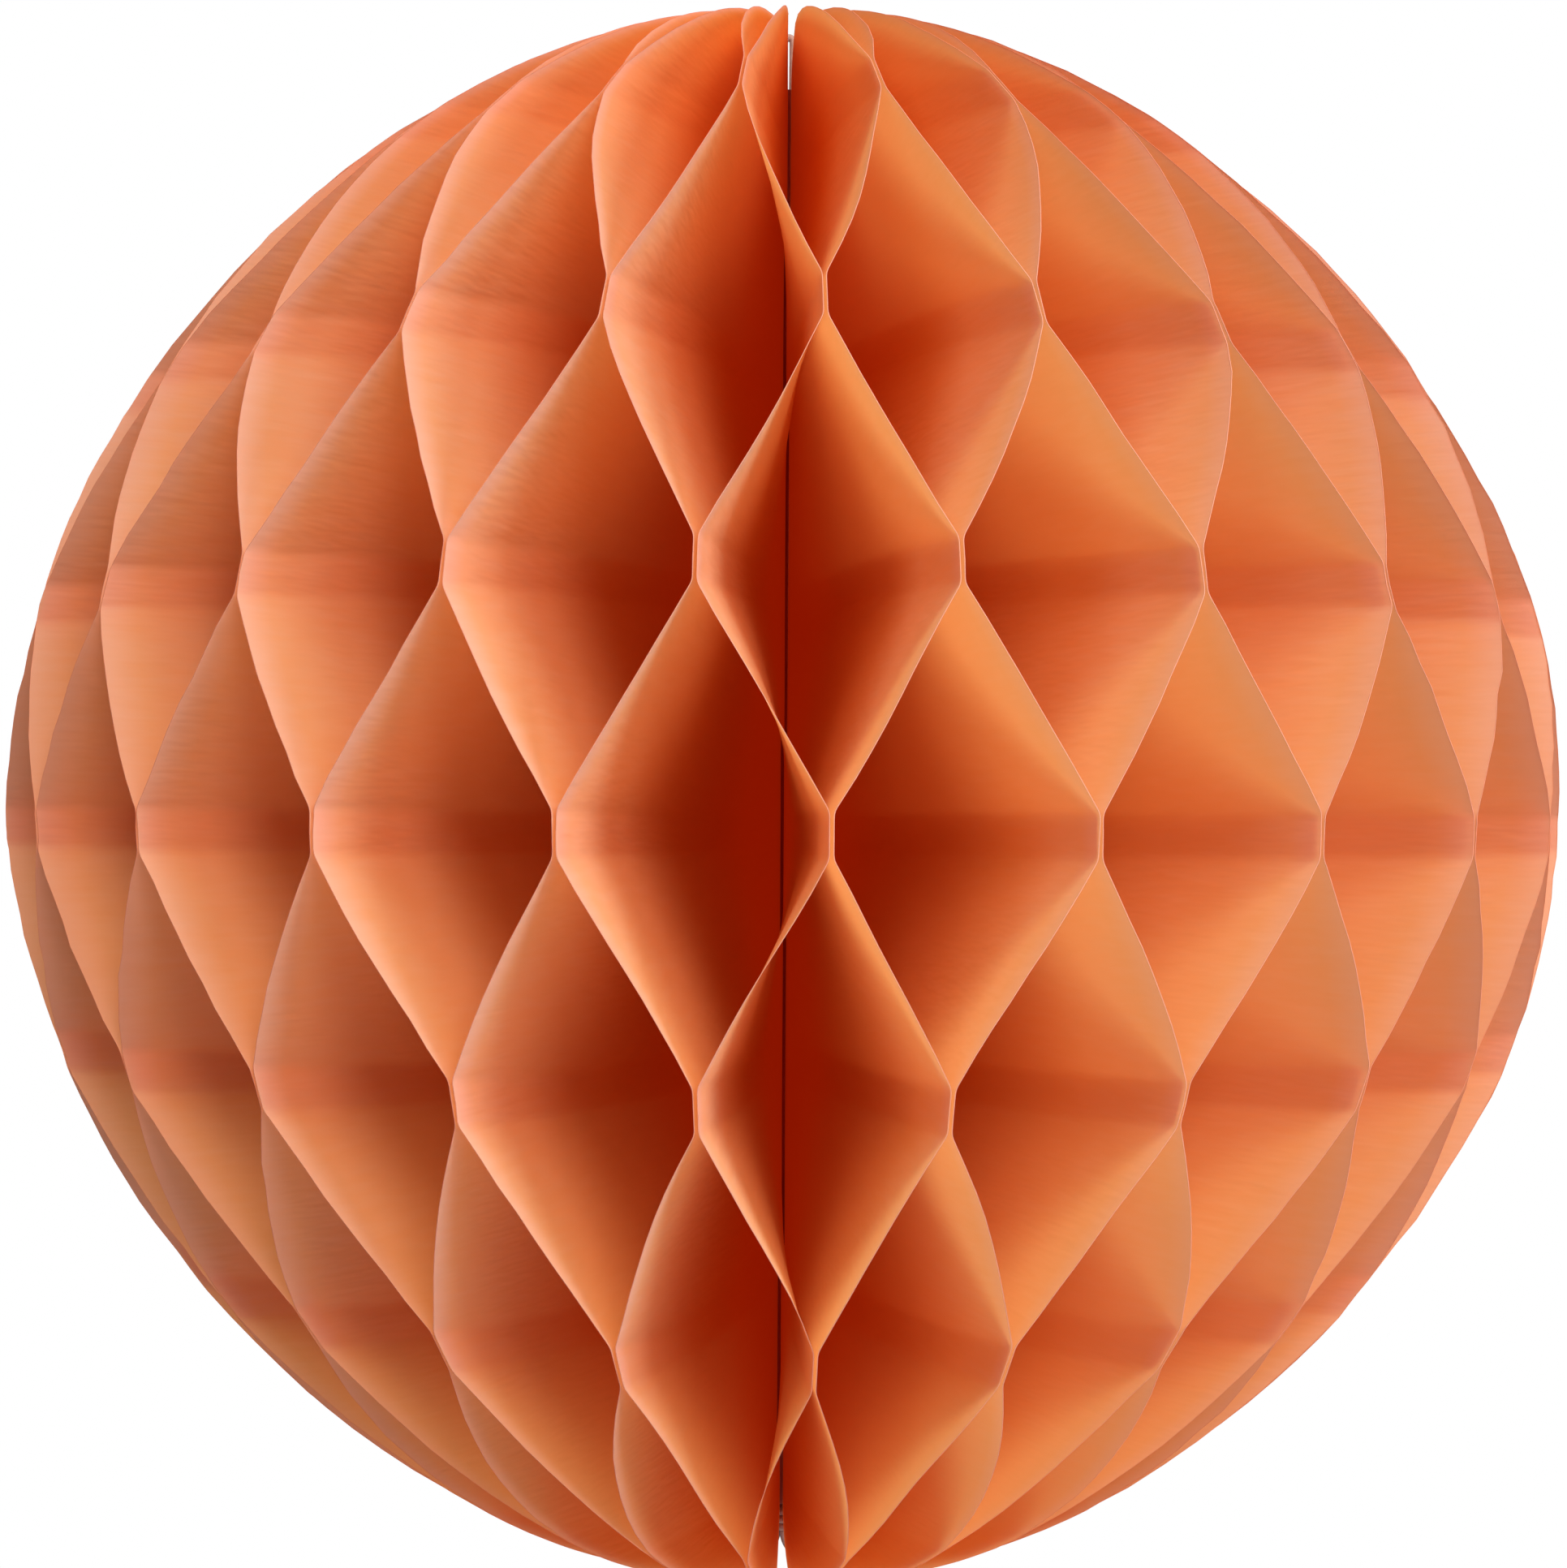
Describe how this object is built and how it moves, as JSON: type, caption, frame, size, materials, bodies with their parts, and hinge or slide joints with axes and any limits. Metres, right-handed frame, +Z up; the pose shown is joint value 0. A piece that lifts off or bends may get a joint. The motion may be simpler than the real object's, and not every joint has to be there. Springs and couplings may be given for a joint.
{
  "type": "honeycomb paper ball",
  "caption": "Round honeycomb ball of folded tissue leaves glued in lines around a bound spine, with a thread loop to hang it as decoration.",
  "frame": {"origin": "centre of the ball, midway along the bound spine", "axes": "+Z up along the spine towards the hanging loop; -Y is the side that faces the viewer, +Y the side of the card covers; +X to the right"},
  "size_m": [0.1454, 0.1454, 0.1505],
  "materials": {
    "tissue": "matt translucent tissue paper, salmon orange",
    "card": "matt coloured card",
    "adhesive": "pale double-sided tape",
    "binding": "glued edge binding, matt",
    "thread": "twisted cotton thread, pale"
  },
  "bodies": {
    "root": {"leaf_01": "tissue", "leaf_02": "tissue", "leaf_03": "tissue", "leaf_04": "tissue", "leaf_05": "tissue", "leaf_06": "tissue", "leaf_07": "tissue", "leaf_08": "tissue", "leaf_09": "tissue", "leaf_10": "tissue", "leaf_11": "tissue", "leaf_12": "tissue", "leaf_13": "tissue", "leaf_14": "tissue", "leaf_15": "tissue", "leaf_16": "tissue", "leaf_17": "tissue", "leaf_18": "tissue", "leaf_19": "tissue", "leaf_20": "tissue", "leaf_21": "tissue", "leaf_22": "tissue", "leaf_23": "tissue", "leaf_24": "tissue", "leaf_25": "tissue", "leaf_26": "tissue", "leaf_27": "tissue", "leaf_28": "tissue", "leaf_29": "tissue", "leaf_30": "tissue", "leaf_31": "tissue", "leaf_32": "tissue", "leaf_33": "tissue", "leaf_34": "tissue", "leaf_35": "tissue", "leaf_36": "tissue", "leaf_37": "tissue", "leaf_38": "tissue", "leaf_39": "tissue", "leaf_40": "tissue", "leaf_41": "tissue", "leaf_42": "tissue", "leaf_43": "tissue", "leaf_44": "tissue", "leaf_45": "tissue", "leaf_46": "tissue", "leaf_47": "tissue", "leaf_48": "tissue", "cover_left": "card", "cover_right": "card", "closing_tape": "adhesive", "spine_binding": "binding", "hanging_thread": "thread"}
  },
  "joints": []
}
